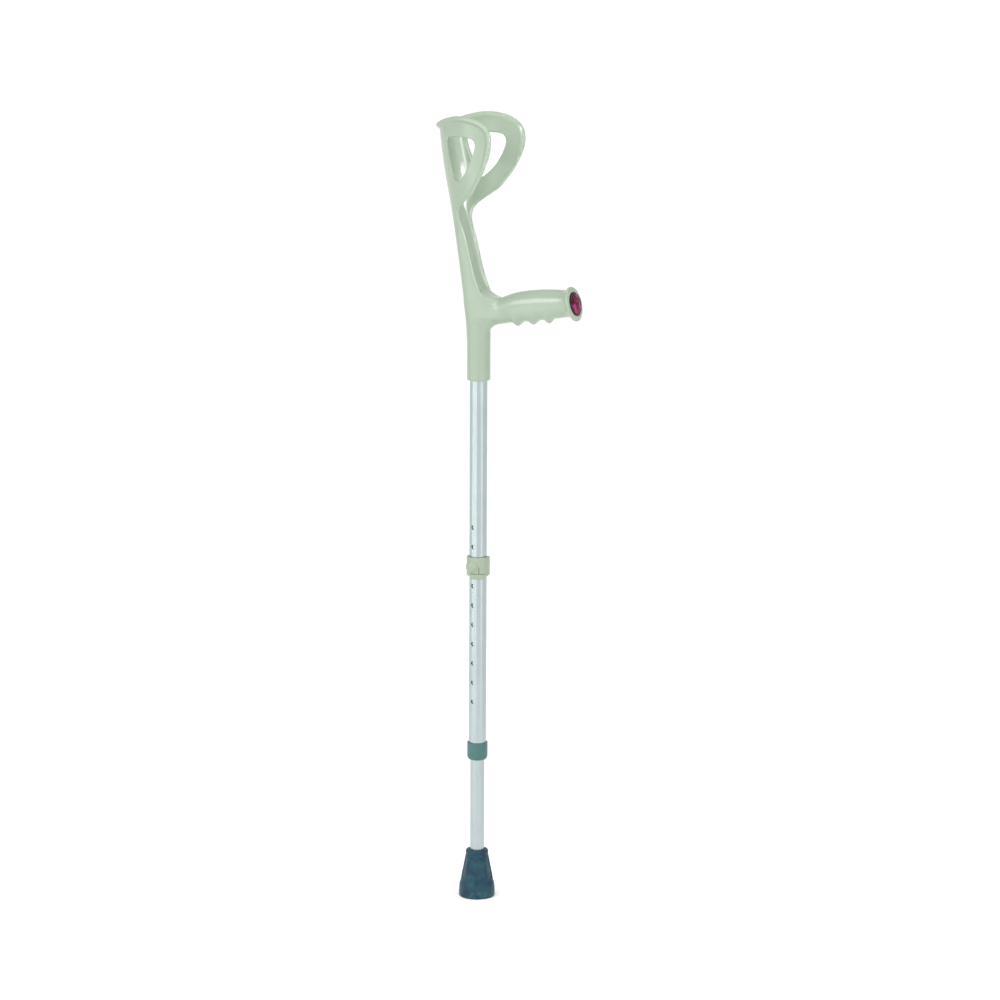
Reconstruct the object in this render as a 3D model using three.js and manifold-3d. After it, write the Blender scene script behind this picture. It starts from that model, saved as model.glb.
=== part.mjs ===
// Forearm crutch: a one-piece moulded handle with an open winged cuff, on a telescopic aluminium
// leg that is locked by a pull-off clip, with a flared rubber ferrule.
// Millimetres. +Z runs up the leg, +X is forward (the way the hand grip points) and Y = 0 is the
// handle's plane of symmetry. The origin is the middle of the ferrule's ground face.
import * as THREE from "three";
import { mergeVertices } from "three/addons/utils/BufferGeometryUtils.js";
import Module from "manifold-3d";

// ---------------------------------------------------------------- driving dimensions
const GAP = 0.3; // between pieces that touch
const ROUND = 48; // facets round a tube

const OUTER_R = 11; // outer tube, 22 mm x 1.5 mm
const OUTER_BORE = 9.5;
const OUTER_FOOT = 184.3;
const OUTER_HEAD = 745;

const INNER_R = 9; // inner tube, 18 mm x 1.5 mm
const INNER_BORE = 7.5;
const INNER_FOOT = 11.3;
const INNER_HEAD = 492;

const HOLES = 10; // height holes down the outer tube
const HOLE_PITCH = 25;
const HOLE_R = 2.6;
const TOP_HOLE_Z = 481;
const CLIP_HOLE = 2; // counted from 0 at the top: the hole the clip sits in
const HOLE_AZIMUTH = THREE.MathUtils.degToRad(-101); // the way the row of holes faces

const CLIP_R = 14.4;
const CLIP_BORE = OUTER_R + GAP;
const CLIP_HALF_HEIGHT = 12.2;
const CLIP_MOUTH = THREE.MathUtils.degToRad(84); // opening opposite the peg
const BOSS_R = 7.2;
const BOSS_REACH = 18.2;
const PEG_R = 2.25;
const PEG_TIP = 6.2; // how near the tube's axis the peg ends
const TAB = { turn: THREE.MathUtils.degToRad(39), half: THREE.MathUtils.degToRad(37), foot: -15.6, r: 15 }; // finger tab, turned from the peg

const COLLAR_R = 13;
const COLLAR_Z = [180, 202.4];

const FERRULE_H = 61.4;
const FERRULE_BASE_R = 22.9;
const FERRULE_SOCKET_Z = 11;

const SLEEVE_R = 14.7; // the handle's socket round the tube
const SLEEVE_FOOT = 667;
const SOCKET_HEAD = OUTER_HEAD + GAP;

const WALL = 4; // of the spine and the cuff
const LENS_R = 14.6;
const FLANGE = { x: 133, z: 772.4, r: 21.8, oval: 0.1, tilt: THREE.MathUtils.degToRad(14.5) }; // oval: how much narrower than high

// Back of the handle, from the sleeve up to the cuff's top: height, X of the back, and depth and
// half width of its curve, half an ellipse in plan. In front of it the sides run straight forward.
const BACK = [
  { z: 695, x: -14.3, r: 14.3, half: 14.3 },
  { z: 725, x: -15.8, r: 14.3, half: 14.3 },
  { z: 765, x: -19.8, r: 14.3, half: 14.3 },
  { z: 805, x: -25.2, r: 14.3, half: 14.3 },
  { z: 844, x: -31.2, r: 14.6, half: 14.5 },
  { z: 862, x: -34.0, r: 17, half: 15.9 },
  { z: 874, x: -35.6, r: 24, half: 20.4 },
  { z: 886, x: -37.6, r: 38, half: 26.8 },
  { z: 903, x: -40.8, r: 62, half: 36 },
  { z: 920, x: -44.0, r: 78, half: 42 },
  { z: 938, x: -47.2, r: 86, half: 45 },
  { z: 960, x: -50.6, r: 91, half: 44.6 },
  { z: 985, x: -54.0, r: 92, half: 41.6 },
  { z: 1010, x: -57.2, r: 92, half: 38.6 },
];

// Side view of the free edge of the spine and the cuff: up the front, then back over the top.
const EDGE = [
  [34, 759], [24.5, 760.4], [18, 763.6], [12.6, 768.5], [9.2, 774.6], [6.2, 781], [2.9, 788.6], [-0.3, 797.4],
  [-4, 809], [-8.7, 827.5], [-13.8, 846.5], [-16.8, 855], [-19.6, 863], [-21, 871.5], [-19.8, 880], [-14.6, 887.2],
  [-5.6, 894.9], [7.2, 904.8], [14.2, 914], [21.8, 925], [27.9, 936], [32.9, 947.4], [35.9, 957.8], [37, 967],
  [35.6, 976.6], [30.4, 984.4], [20.6, 990.4], [10, 993.2], [-3, 994.8], [-16, 994.2], [-28, 991.6], [-39, 988],
  [-48, 984],
];

// Side view of the teardrop window in each wing.
const WINDOW = [
  [-31, 963], [-29, 969.4], [-21.5, 971.6], [-8, 972], [5.2, 971.6], [12.8, 969.4], [15.8, 963], [13.8, 953.5],
  [8.2, 941.5], [0.6, 929.5], [-6.5, 921.5], [-12.5, 917], [-17, 918.2], [-21.6, 928], [-25.6, 942], [-29.4, 955],
];

// Side view of the floor that closes the channel of the spine and runs out on top of the grip.
const SADDLE = [
  [-30, 752], [-30, 814], [-18.5, 806], [-11, 797.6], [-3, 789.6], [4, 783], [12, 777], [20, 773.8], [30, 772],
  [34, 752],
];

// Sections of the hand grip: X and Z of the middle, height above it, depth below it, half width and
// Side view of the spine's front face between its two rims, up into the cuff: [x, z].
const FRONT = [
  [24, 752], [14.5, 764], [8.8, 773], [5.4, 780], [1.8, 789], [-4.4, 806], [-9.6, 827], [-15, 846], [-20.6, 863],
  [-25.6, 876], [-31.4, 890], [-37.2, 904],
];

// lean in degrees. The underside has three finger swells.
const GRIP = [
  [-6, 756, 15, 16, 10, 0], [8, 756, 19, 22, 13.6, 0], [15.5, 756.3, 18.4, 24.6, 14.2, 0],
  [21, 756.6, 17.2, 20.8, 14.1, 0], [26, 757, 16.4, 18.6, 14, 1], [32, 757.6, 15.9, 18.1, 14.2, 3],
  [40, 759.2, 17, 17.6, 15, 5], [46, 760.4, 18, 17.7, 15.7, 5], [50.5, 761.2, 18.7, 19.8, 16, 5],
  [54, 761.8, 19.3, 22.8, 16.2, 5], [57.5, 762.3, 19.6, 20.6, 16.3, 5], [62, 763, 20, 18.3, 16.4, 5],
  [67, 763.8, 20.2, 18.2, 16.5, 5], [71.5, 764.4, 20.4, 19.6, 16.5, 5], [75.5, 764.9, 20.5, 22.6, 16.5, 5],
  [79, 765.4, 20.5, 20.4, 16.5, 5], [84, 766.2, 20.5, 18, 16.4, 5], [89, 767, 20.3, 17.9, 16.4, 5],
  [93.5, 767.6, 20, 19.4, 16.3, 5], [97.2, 768.2, 19.8, 22.7, 16.3, 5], [100.5, 768.6, 19.5, 20, 16.2, 5],
  [105, 769.3, 19.1, 17.4, 16.1, 5], [111, 770.1, 18.6, 16.9, 16, 6], [118, 771, 17.9, 16.4, 15.9, 8],
  [123.8, 771.6, 17.6, 16.5, 16.4, 11], [127, 771.9, 18.7, 17.4, 17, 13], [129.5, 772.1, 20.6, 19.4, 18.4, 14],
  [131, 772.2, 21.5, 21.1, 19.2, 14.5],
];

// ---------------------------------------------------------------- materials
const plastic = (name, color, roughness) =>
  new THREE.MeshStandardMaterial({ name, color, roughness, metalness: 0 });
const metal = (name, color, roughness) =>
  new THREE.MeshStandardMaterial({ name, color, roughness, metalness: 1 });

const SAGE = plastic("sage_plastic", 0xb2c8af, 0.3);
const CLIP_PLASTIC = plastic("clip_plastic", 0xb8c4a9, 0.4);
const TEAL = plastic("collar_plastic", 0x5f8782, 0.45);
const BUSH_PLASTIC = plastic("bush_plastic", 0xd9dcd6, 0.5);
const RUBBER = plastic("ferrule_rubber", 0x37525e, 0.75);
const CRIMSON = plastic("reflector", 0x8e1a34, 0.15);
const ALUMINIUM = metal("tube_aluminium", 0xc3cfce, 0.3);
const STEEL = metal("zinc_steel", 0xa9adb0, 0.35);

// ---------------------------------------------------------------- solids
const wasm = await Module();
wasm.setup();

function solid(geometry) {
  const bare = geometry.clone();
  bare.deleteAttribute("normal");
  bare.deleteAttribute("uv");
  const merged = mergeVertices(bare, 1e-3);
  return new wasm.Manifold(
    new wasm.Mesh({
      numProp: 3,
      vertProperties: merged.attributes.position.array,
      triVerts: new Uint32Array(merged.index.array),
    }),
  );
}

function meshOf(name, body, material) {
  const { numProp, numVert, vertProperties, triVerts } = body.getMesh();
  const positions = new Float32Array(numVert * 3);
  for (let i = 0; i < numVert; i++) {
    positions.set(vertProperties.subarray(i * numProp, i * numProp + 3), i * 3);
  }
  const geometry = new THREE.BufferGeometry()
    .setAttribute("position", new THREE.BufferAttribute(positions, 3))
    .setIndex(new THREE.BufferAttribute(triVerts, 1));
  geometry.computeVertexNormals();
  const mesh = new THREE.Mesh(geometry, material);
  mesh.name = name;
  return mesh;
}

// A body turned about Z from a closed outline of [radius, height], counter-clockwise.
function turned(outline, facets = ROUND) {
  const points = [...outline, outline[0]].map(([r, z]) => new THREE.Vector2(r, z));
  return new THREE.LatheGeometry(points, facets).rotateX(Math.PI / 2);
}

function ring(inner, outer, from, to, facets = ROUND) {
  return turned([[inner, from], [outer, from], [outer, to], [inner, to]], facets);
}

// A rod of radius r along X, from one X to another.
function rod(r, from, to, facets = 24) {
  return new THREE.CylinderGeometry(r, r, to - from, facets)
    .rotateZ(-Math.PI / 2)
    .translate((from + to) / 2, 0, 0);
}

// Moves every vertex of a closed geometry to where place(x, y, z) puts it.
function shaped(geometry, place) {
  const at = geometry.attributes.position;
  for (let i = 0; i < at.count; i++) at.setXYZ(i, ...place(at.getX(i), at.getY(i), at.getZ(i)));
  return geometry;
}

// A side-view outline of [x, z] points, smoothed to `steps` points and extruded across Y.
function plate(points, steps, from, to) {
  const curve = new THREE.CatmullRomCurve3(
    points.map(([x, z]) => new THREE.Vector3(x, z, 0)), true, "centripetal",
  );
  const outline = curve.getPoints(steps).slice(0, steps).map((p) => new THREE.Vector2(p.x, p.y));
  return new THREE.ExtrudeGeometry(new THREE.Shape(outline), { depth: to - from, bevelEnabled: false })
    .rotateX(Math.PI / 2)
    .translate(0, to, 0);
}

// ---------------------------------------------------------------- handle
const smooth = (t) => t * t * (3 - 2 * t);

function backAt(z) {
  let i = 0;
  while (i < BACK.length - 2 && z > BACK[i + 1].z) i++;
  const [a, b] = [BACK[i], BACK[i + 1]];
  const t = THREE.MathUtils.clamp((z - a.z) / (b.z - a.z), 0, 1);
  const mix = (key) => THREE.MathUtils.lerp(a[key], b[key], t);
  return { x: mix("x"), r: mix("r"), half: mix("half") };
}

// Half of the handle's outer width at a place in side view.
function halfWidth(x, z) {
  const { x: back, r, half } = backAt(z);
  return half * Math.sqrt(Math.max(0, 1 - (Math.max(0, back + r - x) / r) ** 2));
}

// The bent sheet that makes the spine and the cuff: s runs round it from -1 to 1, depth is how far
// under the outer face.
function sheetPoint(s, depth, z) {
  const { x: back, r, half } = backAt(z);
  const bend = 0.72; // share of the run that is the curve
  const angle = (Math.PI / 2) * Math.min(Math.abs(s) / bend, 1);
  const run = 50 * Math.max(0, (Math.abs(s) - bend) / (1 - bend));
  const outward = new THREE.Vector2(-Math.cos(angle) / r, Math.sin(angle) / half).normalize();
  return [
    back + r - r * Math.cos(angle) - depth * outward.x + run,
    Math.sign(s) * (half * Math.sin(angle) - depth * outward.y),
    z,
  ];
}

// The body of the spine between its rims, from the back wall to the front face.
function web() {
  const [foot, head] = [FRONT[0][1], FRONT.at(-1)[1]];
  const frontAt = (z) => {
    let i = 0;
    while (i < FRONT.length - 2 && z > FRONT[i + 1][1]) i++;
    const [[x0, z0], [x1, z1]] = [FRONT[i], FRONT[i + 1]];
    return THREE.MathUtils.lerp(x0, x1, THREE.MathUtils.clamp((z - z0) / (z1 - z0), 0, 1));
  };
  return solid(
    shaped(new THREE.BoxGeometry(2, 1, 1, 14, 1, 20), (u, v, w) => {
      const z = THREE.MathUtils.lerp(foot, head, w + 0.5);
      const { x: back, r, half } = backAt(z);
      const face = frontAt(z);
      const reach = Math.acos(THREE.MathUtils.clamp((back + r - face + 0.5) / (r - 1), 0, 1));
      return [v > 0 ? back + r - (r - 1) * Math.cos(u * reach) : face, (half - 1) * Math.sin(u * reach), z];
    }),
  );
}

function spineAndCuff() {
  const [foot, head] = [746, 1008];
  const sheet = shaped(new THREE.BoxGeometry(2, 1, 1, 28, 1, 24), (u, v, w) => {
    const z = THREE.MathUtils.lerp(foot, head, w + 0.5);
    return sheetPoint(u, v > 0 ? 0 : WALL, z);
  });
  const outline = [[-70, 740], [22, 740], [34, 750], ...EDGE, [-58, 980], [-72, 980]];
  const shape = new THREE.Shape(outline.map(([x, z]) => new THREE.Vector2(x, z)));
  const side = new THREE.ExtrudeGeometry(shape, { depth: 130, bevelEnabled: false })
    .rotateX(Math.PI / 2)
    .translate(0, 65, 0);
  return solid(sheet).intersect(solid(side)).subtract(solid(plate(WINDOW, 34, -70, 70)));
}

// How far the rolled bead's middle lies under the outer face: it turns outward over the top.
const rimInset = (z) => THREE.MathUtils.lerp(1.9, -1.2, smooth(THREE.MathUtils.clamp((z - 930) / 40, 0, 1)));

// The rolled bead along the free edge, thicker over the top of the cuff than down the spine.
function bead() {
  const half = EDGE.map(([x, z]) => {
    const inset = rimInset(z);
    const y = Math.max(0, halfWidth(x, z) - inset);
    return new THREE.Vector3(Math.max(x, backAt(z).x + inset), -y, z);
  });
  const back = new THREE.Vector3(backAt(981.5).x + rimInset(981.5), 0, 981.5);
  const other = half.map((p) => new THREE.Vector3(p.x, -p.y, p.z)).reverse();
  const path = new THREE.CatmullRomCurve3([...half, back, ...other], false, "centripetal");
  const steps = 84;
  return solid(
    shaped(new THREE.CylinderGeometry(1, 1, 1, 8, steps), (x, y, z) => {
      const t = y + 0.5;
      const at = path.getPointAt(t);
      const ahead = path.getTangentAt(t);
      const out = new THREE.Vector3(at.x + 12, at.y, 0).normalize();
      out.addScaledVector(ahead, -out.dot(ahead)).normalize();
      const up = new THREE.Vector3().crossVectors(ahead, out);
      const size = THREE.MathUtils.lerp(2.15, 3.3, smooth(THREE.MathUtils.clamp((at.z - 880) / 90, 0, 1)))
        + 0.5 * smooth(THREE.MathUtils.clamp((-42 - at.x) / 10, 0, 1));
      at.addScaledVector(out, x * size).addScaledVector(up, -z * size);
      return at.toArray();
    }),
  );
}

// An upright block with an elliptical plan, from the handle's back to frontAt(z).
function block(foot, head, halfWide, frontAt) {
  return solid(
    shaped(new THREE.CylinderGeometry(1, 1, 1, 24, 8), (x, y, z) => {
      const height = THREE.MathUtils.lerp(foot, head, y + 0.5);
      const back = backAt(height).x + 0.2;
      const front = frontAt(height);
      return [(front + back) / 2 + (x * (front - back)) / 2, z * -halfWide, height];
    }),
  );
}

// The solid block where sleeve, spine and grip meet.
function root() {
  return block(702, 786, 14.3, (z) => {
    const rise = THREE.MathUtils.clamp((z - 725) / 45, 0, 1);
    return THREE.MathUtils.lerp(14.2, 13.2, rise) - 9 * smooth(THREE.MathUtils.clamp((z - 770) / 16, 0, 1));
  });
}

function saddle() {
  const shape = new THREE.Shape(SADDLE.map(([x, z]) => new THREE.Vector2(x, z)));
  const fill = new THREE.ExtrudeGeometry(shape, { depth: 40, bevelEnabled: false })
    .rotateX(Math.PI / 2)
    .translate(0, 20, 0);
  return solid(fill).intersect(block(750, 816, 13, () => 42));
}

function grip() {
  const last = GRIP.length - 1;
  return solid(
    shaped(new THREE.CylinderGeometry(1, 1, 1, 24, last), (x, y, z) => {
      const [cx, cz, up, down, half, lean] = GRIP[Math.round((y + 0.5) * last)];
      const tilt = THREE.MathUtils.degToRad(lean);
      const v = x * (x > 0 ? up : down);
      return [cx - v * Math.sin(tilt), half * z, cz + v * Math.cos(tilt)];
    }),
  );
}

// Lays a body turned about Z along the grip's end axis, its Z = 0 at the flange's middle.
function onGripEnd(geometry) {
  return geometry.rotateY(Math.PI / 2 - FLANGE.tilt).translate(FLANGE.x, 0, FLANGE.z);
}

function flange() {
  const { r } = FLANGE;
  return solid(onGripEnd(shaped(turned([
    [0, -4], [r - 3, -4], [r - 0.4, -2.6], [r, -1.4], [r, -0.6], [r - 0.7, 0.3], [r - 2, 0.5],
    [LENS_R + 1.4, 1.6], [LENS_R + GAP, 1.6], [LENS_R + GAP, -0.9], [0, -0.9],
  ], 40), (x, y, z) => [x, y * (1 - FLANGE.oval * THREE.MathUtils.clamp((Math.hypot(x, y) - 16) / 3, 0, 1)), z])));
}

function handleMoulding() {
  const sleeve = solid(turned([
    [0, SLEEVE_FOOT], [SLEEVE_R - 1.2, SLEEVE_FOOT], [SLEEVE_R - 0.3, SLEEVE_FOOT + 0.4],
    [SLEEVE_R, SLEEVE_FOOT + 1.4], [SLEEVE_R, 742], [SLEEVE_R - 2, 762], [0, 762],
  ]));
  const socket = solid(turned([
    [0, SLEEVE_FOOT - 5], [OUTER_R + GAP, SLEEVE_FOOT - 5], [OUTER_R + GAP, SOCKET_HEAD], [0, SOCKET_HEAD],
  ]));
  const body = spineAndCuff().add(web()).add(bead()).add(root()).add(saddle()).add(grip()).add(flange()).add(sleeve);
  return meshOf("handle_moulding", body.subtract(socket), SAGE);
}

function reflectorLens() {
  const lens = onGripEnd(turned([
    [0, -0.6], [LENS_R, -0.6], [LENS_R, 1.4], [LENS_R - 0.9, 2.2], [LENS_R * 0.6, 2.9], [0, 3.2],
  ], 40));
  return meshOf("reflector_lens", solid(lens), CRIMSON);
}

// ---------------------------------------------------------------- leg
const holeHeight = (n) => TOP_HOLE_Z - n * HOLE_PITCH;

// A hole through one wall of a tube, on the side the holes face.
function drill(height) {
  return solid(rod(HOLE_R, 2, OUTER_R + 4).rotateZ(HOLE_AZIMUTH).translate(0, 0, height));
}

function outerTube() {
  let tube = solid(ring(OUTER_BORE, OUTER_R, OUTER_FOOT, OUTER_HEAD));
  for (let n = 0; n < HOLES; n++) tube = tube.subtract(drill(holeHeight(n)));
  return meshOf("outer_tube", tube, ALUMINIUM);
}

function innerTube() {
  const tube = solid(ring(INNER_BORE, INNER_R, INNER_FOOT, INNER_HEAD));
  return meshOf("inner_tube", tube.subtract(drill(holeHeight(CLIP_HOLE))), ALUMINIUM);
}

// The cap on the outer tube's end, whose lip guides the inner tube.
function endCollar() {
  const [foot, head] = COLLAR_Z;
  const outline = [
    [INNER_R + GAP, foot], [COLLAR_R - 2.6, foot], [COLLAR_R - 1.1, foot + 0.5], [COLLAR_R - 0.2, foot + 1.7],
    [COLLAR_R, foot + 3.2], [COLLAR_R, head - 0.8], [COLLAR_R - 0.6, head], [OUTER_R + GAP, head],
    [OUTER_R + GAP, OUTER_FOOT - GAP], [INNER_R + GAP, OUTER_FOOT - GAP],
  ];
  return meshOf("end_collar", solid(turned(outline)), TEAL);
}

// The ring at the inner tube's head that keeps it from rattling in the outer tube. It fits over
// the tube's end and runs in the outer tube's bore.
function guideBush() {
  const head = INNER_HEAD;
  const outline = [
    [INNER_BORE - 2.2, head - 12], [INNER_BORE - GAP, head - 12], [INNER_BORE - GAP, head + GAP],
    [OUTER_BORE - 0.1, head + GAP], [OUTER_BORE - 0.1, head + 5], [OUTER_BORE - 0.7, head + 6],
    [INNER_BORE - 2.2, head + 6],
  ];
  return meshOf("guide_bush", solid(turned(outline)), BUSH_PLASTIC);
}

// An upright wedge round +X, with its edge on the axis and this half angle.
function wedgeOf(halfAngle) {
  const reach = 40;
  const plan = new THREE.Shape([
    new THREE.Vector2(0, 0),
    new THREE.Vector2(reach, -reach * Math.tan(halfAngle)),
    new THREE.Vector2(reach, reach * Math.tan(halfAngle)),
  ]);
  return new THREE.ExtrudeGeometry(plan, { depth: 60, bevelEnabled: false }).translate(0, 0, -30);
}

// A C-shaped spring clip with a round boss and a peg, pushed on from the side of the holes.
function heightClip() {
  const h = CLIP_HALF_HEIGHT;
  const band = solid(turned([
    [CLIP_BORE, -h], [CLIP_R - 1.4, -h], [CLIP_R, -h + 1.8], [CLIP_R, h - 0.7], [CLIP_R - 0.7, h], [CLIP_BORE, h],
  ]));
  const boss = solid(
    new THREE.CylinderGeometry(BOSS_R - 2, BOSS_R, BOSS_REACH - 9, 32).rotateZ(-Math.PI / 2).translate((BOSS_REACH + 9) / 2, 0, 0),
  );
  const tab = solid(turned([
    [CLIP_BORE, TAB.foot], [TAB.r - 1.2, TAB.foot], [TAB.r, TAB.foot + 1.2], [TAB.r, TAB.foot + 4], [CLIP_R, TAB.foot + 6],
    [CLIP_BORE, TAB.foot + 6],
  ])).intersect(solid(
    wedgeOf(TAB.half).rotateZ(TAB.turn),
  ));
  const keepOut = solid(ring(0.01, CLIP_BORE, -30, 30));
  const peg = solid(rod(PEG_R, PEG_TIP, 15, 24));
  const clip = band.subtract(solid(wedgeOf(CLIP_MOUTH / 2).rotateZ(Math.PI))).add(tab).add(boss).subtract(keepOut).add(peg);
  const mesh = meshOf("height_clip", clip, CLIP_PLASTIC);
  mesh.rotation.z = HOLE_AZIMUTH;
  mesh.position.z = holeHeight(CLIP_HOLE);
  return mesh;
}

// ---------------------------------------------------------------- foot
function ferrule() {
  const socket = INNER_R + GAP;
  const outline = [
    [0, 0], [FERRULE_BASE_R - 2.4, 0], [FERRULE_BASE_R - 0.9, 0.8], [FERRULE_BASE_R - 0.1, 3],
    [FERRULE_BASE_R, 5], [FERRULE_BASE_R - 0.3, 12], [FERRULE_BASE_R - 1, 17.4], [FERRULE_BASE_R - 1.8, 20],
    [19.3, 29], [17.5, 38], [15.6, 48], [14.4, 55], [14.1, 56.4], [14.5, 57.2], [14.4, 59.2], [12.8, FERRULE_H],
    [socket + 0.6, FERRULE_H],
    [socket, FERRULE_H - 0.6], [socket, FERRULE_SOCKET_Z - 1.6], [0, FERRULE_SOCKET_Z - 1.6],
  ];
  return meshOf("ferrule", solid(turned(outline)), RUBBER);
}

// The steel disc under the tube's end that keeps it from cutting through the rubber.
function ferruleWasher() {
  const top = INNER_FOOT - GAP;
  return meshOf("ferrule_washer", solid(ring(2.2, INNER_R, FERRULE_SOCKET_Z - 1.3, top, 32)), STEEL);
}

// ---------------------------------------------------------------- assembly
const crutch = new THREE.Group();

const upper = new THREE.Group();
upper.add(handleMoulding(), reflectorLens(), outerTube(), endCollar());

const lower = new THREE.Group();
lower.add(innerTube(), guideBush(), ferrule(), ferruleWasher());

crutch.add(upper, lower, heightClip());

export default crutch;
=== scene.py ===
import math

import bmesh
import bpy
import numpy as np
from mathutils import Matrix, Vector


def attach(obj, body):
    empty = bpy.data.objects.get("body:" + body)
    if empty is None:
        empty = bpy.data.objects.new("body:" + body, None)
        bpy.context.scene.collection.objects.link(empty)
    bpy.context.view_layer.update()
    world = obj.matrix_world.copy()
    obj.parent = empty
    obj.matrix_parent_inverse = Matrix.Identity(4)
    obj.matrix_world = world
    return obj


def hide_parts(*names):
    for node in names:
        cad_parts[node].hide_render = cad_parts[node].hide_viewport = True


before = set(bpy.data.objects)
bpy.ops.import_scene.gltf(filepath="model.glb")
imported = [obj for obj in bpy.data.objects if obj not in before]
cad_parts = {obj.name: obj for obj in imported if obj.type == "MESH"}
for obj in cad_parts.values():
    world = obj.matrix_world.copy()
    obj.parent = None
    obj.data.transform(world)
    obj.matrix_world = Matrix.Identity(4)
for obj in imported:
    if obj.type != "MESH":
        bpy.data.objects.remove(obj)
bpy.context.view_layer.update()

MM = 0.001
SCENE = bpy.context.scene

# Lengths are in mm, and obj_from turns them into metres; only the lamps are placed in metres. Z is up, the
# leg stands on the origin, and the grip points along X.

# ------------------------------------------------------------------ dimensions, as in the CAD
OUTER_R, OUTER_BORE, OUTER_FOOT, OUTER_HEAD = 11, 9.5, 184.3, 745
INNER_R, INNER_BORE, INNER_FOOT, INNER_HEAD = 9, 7.5, 11.3, 492
TOP_HOLE, HOLE_PITCH, HOLE_COUNT = 481, 25, 10
HOLES = [TOP_HOLE - HOLE_PITCH * n for n in range(HOLE_COUNT)]
HOLE_R, HOLE_AZIMUTH = 2.6, math.radians(-101)
CLIP_Z = HOLES[2]
CLIP_R, CLIP_BORE, CLIP_HALF, CLIP_MOUTH = 14.4, 11.3, 12.2, math.radians(84)
PEG_R = 2.25
COLLAR_R, COLLAR_FOOT, COLLAR_HEAD = 13, 180, 202.4
FERRULE_H, FERRULE_R, FLUTES = 61.4, 22.9, 8
SLEEVE_R, SLEEVE_FOOT, SLEEVE_HEAD = 14.7, 667, 742
SOCKET_R, SOCKET_HEAD = 11.3, 745.3
WALL = 4.0
LENS_R = 14.6
FLANGE = dict(x=133, z=772.4, r=21.8, oval=0.1, tilt=math.radians(14.5))
# Takes a body turned about Z to the end of the grip.
GRIP_END = Matrix.Translation((FLANGE["x"] * MM, 0, FLANGE["z"] * MM)) @ Matrix.Rotation(
    math.pi / 2 - FLANGE["tilt"], 4, "Y"
)
GAP = 0.3  # radial clearance round a tube
# Back of the handle: height, X of the back, depth and half width of its half-elliptical plan.
BACK = np.array([
    (695, -14.3, 14.3, 14.3), (725, -15.8, 14.3, 14.3), (765, -19.8, 14.3, 14.3), (805, -25.2, 14.3, 14.3),
    (844, -31.2, 14.6, 14.5), (862, -34.0, 17, 15.9), (874, -35.6, 24, 20.4), (886, -37.6, 38, 26.8),
    (903, -40.8, 62, 36), (920, -44.0, 78, 42), (938, -47.2, 86, 45), (960, -50.6, 91, 44.6),
    (985, -54.0, 92, 41.6), (1010, -57.2, 92, 38.6),
], float)
# Side view of the free edge of the spine and cuff, up the front and back over the top.
EDGE = np.array([
    (34, 759), (24.5, 760.4), (18, 763.6), (12.6, 768.5), (9.2, 774.6), (6.2, 781), (2.9, 788.6),
    (-0.3, 797.4), (-4, 809), (-8.7, 827.5), (-13.8, 846.5), (-16.8, 855), (-19.6, 863), (-21, 871.5),
    (-19.8, 880), (-14.6, 887.2), (-5.6, 894.9), (7.2, 904.8), (14.2, 914), (21.8, 925), (27.9, 936),
    (32.9, 947.4), (35.9, 957.8), (37, 967), (35.6, 976.6), (30.4, 984.4), (20.6, 990.4), (10, 993.2),
    (-3, 994.8), (-16, 994.2), (-28, 991.6), (-39, 988), (-48, 984),
], float)
# Side view of the teardrop window in each wing.
WINDOW = np.array([
    (-31, 963), (-29, 969.4), (-21.5, 971.6), (-8, 972), (5.2, 971.6), (12.8, 969.4), (15.8, 963),
    (13.8, 953.5), (8.2, 941.5), (0.6, 929.5), (-6.5, 921.5), (-12.5, 917), (-17, 918.2), (-21.6, 928),
    (-25.6, 942), (-29.4, 955),
], float)
# Side view of the spine's front face between its two rims, up into the cuff.
FRONT = np.array([
    (24, 752), (14.5, 764), (8.8, 773), (5.4, 780), (1.8, 789), (-4.4, 806), (-9.6, 827), (-15, 846),
    (-20.6, 863), (-25.6, 876), (-31.4, 890), (-37.2, 904),
], float)
# Side view of the slope between the spine's front face and the top of the grip.
SADDLE = np.array([
    (-18.5, 806), (-11, 797.6), (-3, 789.6), (4, 783), (12, 777), (20, 773.8), (30, 772),
], float)
# Grip sections: X, Z, height above, depth below, half width, lean in degrees.
GRIP = np.array([
    (-6, 756, 15, 16, 10, 0), (8, 756, 19, 22, 13.6, 0), (15.5, 756.3, 18.4, 24.6, 14.2, 0),
    (21, 756.6, 17.2, 20.8, 14.1, 0), (26, 757, 16.4, 18.6, 14, 1), (32, 757.6, 15.9, 18.1, 14.2, 3),
    (40, 759.2, 17, 17.6, 15, 5), (46, 760.4, 18, 17.7, 15.7, 5), (50.5, 761.2, 18.7, 19.8, 16, 5),
    (54, 761.8, 19.3, 22.8, 16.2, 5), (57.5, 762.3, 19.6, 20.6, 16.3, 5), (62, 763, 20, 18.3, 16.4, 5),
    (67, 763.8, 20.2, 18.2, 16.5, 5), (71.5, 764.4, 20.4, 19.6, 16.5, 5),
    (75.5, 764.9, 20.5, 22.6, 16.5, 5), (79, 765.4, 20.5, 20.4, 16.5, 5),
    (84, 766.2, 20.5, 18, 16.4, 5), (89, 767, 20.3, 17.9, 16.4, 5), (93.5, 767.6, 20, 19.4, 16.3, 5),
    (97.2, 768.2, 19.8, 22.7, 16.3, 5), (100.5, 768.6, 19.5, 20, 16.2, 5),
    (105, 769.3, 19.1, 17.4, 16.1, 5), (111, 770.1, 18.6, 16.9, 16, 6), (118, 771, 17.9, 16.4, 15.9, 8),
    (123.8, 771.6, 17.6, 16.5, 16.4, 11), (127, 771.9, 18.7, 17.4, 17, 13),
    (129.5, 772.1, 20.6, 19.4, 18.4, 14), (131, 772.2, 21.5, 21.1, 19.2, 14.5),
], float)


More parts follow.
